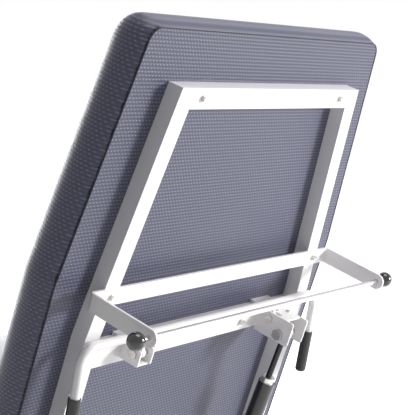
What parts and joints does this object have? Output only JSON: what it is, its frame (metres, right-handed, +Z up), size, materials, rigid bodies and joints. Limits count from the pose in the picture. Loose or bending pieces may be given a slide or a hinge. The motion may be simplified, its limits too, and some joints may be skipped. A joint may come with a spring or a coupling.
{
  "type": "treatment couch with tilting backrest",
  "caption": "Padded treatment couch on a white tube frame; the backrest tilts on a hinge with a gas spring, release bar and paper-roll holder.",
  "frame": {"origin": "middle of the footprint of the whole couch, on the floor", "axes": "+X to the right as seen from behind the backrest, +Y from the head end to the foot end, +Z up"},
  "size_m": [0.7, 1.633, 1.2663],
  "materials": {
    "upholstery": "satin",
    "vinyl_back": "satin",
    "white_enamel": "gloss",
    "plywood": "matte",
    "zinc": "satin",
    "chrome": "polished",
    "black_gloss": "gloss",
    "black_grip": "matte",
    "black_enamel": "satin",
    "black_nitride": "polished",
    "cap_plastic": "satin",
    "foot_rubber": "matte"
  },
  "bodies": {
    "base": {"hinge_ears": "white_enamel", "hinge_pins": "zinc", "hinge_washers": "zinc", "hinge_nuts": "zinc", "head_posts": "white_enamel", "mid_posts": "white_enamel", "foot_posts": "white_enamel", "lower_rail_right": "white_enamel", "lower_rail_left": "white_enamel", "seat_rail_right": "white_enamel", "seat_rail_left": "white_enamel", "seat_cross_tubes": "white_enamel", "base_cross_tubes": "white_enamel", "spring_cross_tube": "white_enamel", "spring_clevis": "white_enamel", "clevis_pin": "zinc", "seat_cover": "vinyl_back", "seat_board": "plywood", "seat_pad": "upholstery", "seat_bolts": "zinc", "end_caps": "cap_plastic", "foot_stems": "zinc", "feet": "foot_rubber"},
    "backrest": {"backrest_leg_right": "white_enamel", "backrest_leg_left": "white_enamel", "backrest_top_bar": "white_enamel", "backrest_cross_tube": "white_enamel", "top_bar_bolts": "zinc", "cross_tube_bolts": "zinc", "backrest_cover": "vinyl_back", "backrest_board": "plywood", "backrest_pad": "upholstery", "roll_bracket": "white_enamel", "roll_bracket_bolts": "zinc", "shaft_bracket": "white_enamel", "spring_bracket": "white_enamel", "tab_screws": "zinc", "release_bolts": "zinc", "spring_pin": "zinc"},
    "roll": {"roll_rod": "chrome", "ball_knob_right": "black_gloss", "ball_knob_left": "black_gloss"},
    "release": {"release_bar": "white_enamel", "grip_right": "black_grip", "grip_left": "black_grip"},
    "spring_rod": {"rod_end": "zinc", "piston_rod": "black_nitride"},
    "spring_cylinder": {"gas_cylinder": "black_enamel", "cylinder_collar": "zinc", "cylinder_lug": "zinc"}
  },
  "joints": [
    {"name": "backrest_hinge", "type": "hinge", "parent": "base", "child": "backrest", "pos_m": [0, -0.4835, 0.56], "axis": [1, 0, 0], "range_deg": [0, 69.34]},
    {"name": "spring_top_pivot", "type": "hinge", "parent": "backrest", "child": "spring_rod", "pos_m": [0.1695, -0.626, 0.77014], "axis": [1, 0, 0], "range_deg": [0, 0.872]},
    {"name": "spring_stroke", "type": "slide", "parent": "spring_rod", "child": "spring_cylinder", "axis": [0, -0.389, 0.9212], "range_m": [0, 0.06657]},
    {"name": "release_pivot", "type": "hinge", "parent": "backrest", "child": "release", "pos_m": [0, -0.60922, 0.79421], "axis": [1, 0, 0], "range_deg": [0, 10], "stiffness_Nm_per_rad": 2, "springref_deg": -5.73},
    {"name": "roll_spin", "type": "hinge", "parent": "backrest", "child": "roll", "pos_m": [0, -0.7223, 0.84668], "axis": [1, 0, 0], "continuous": true}
  ],
  "couplings": [
    {"joint": "spring_top_pivot", "follows": "backrest_hinge", "ratio": 0.011857},
    {"joint": "spring_stroke", "follows": "backrest_hinge", "m_per_rad": 0.05484}
  ]
}
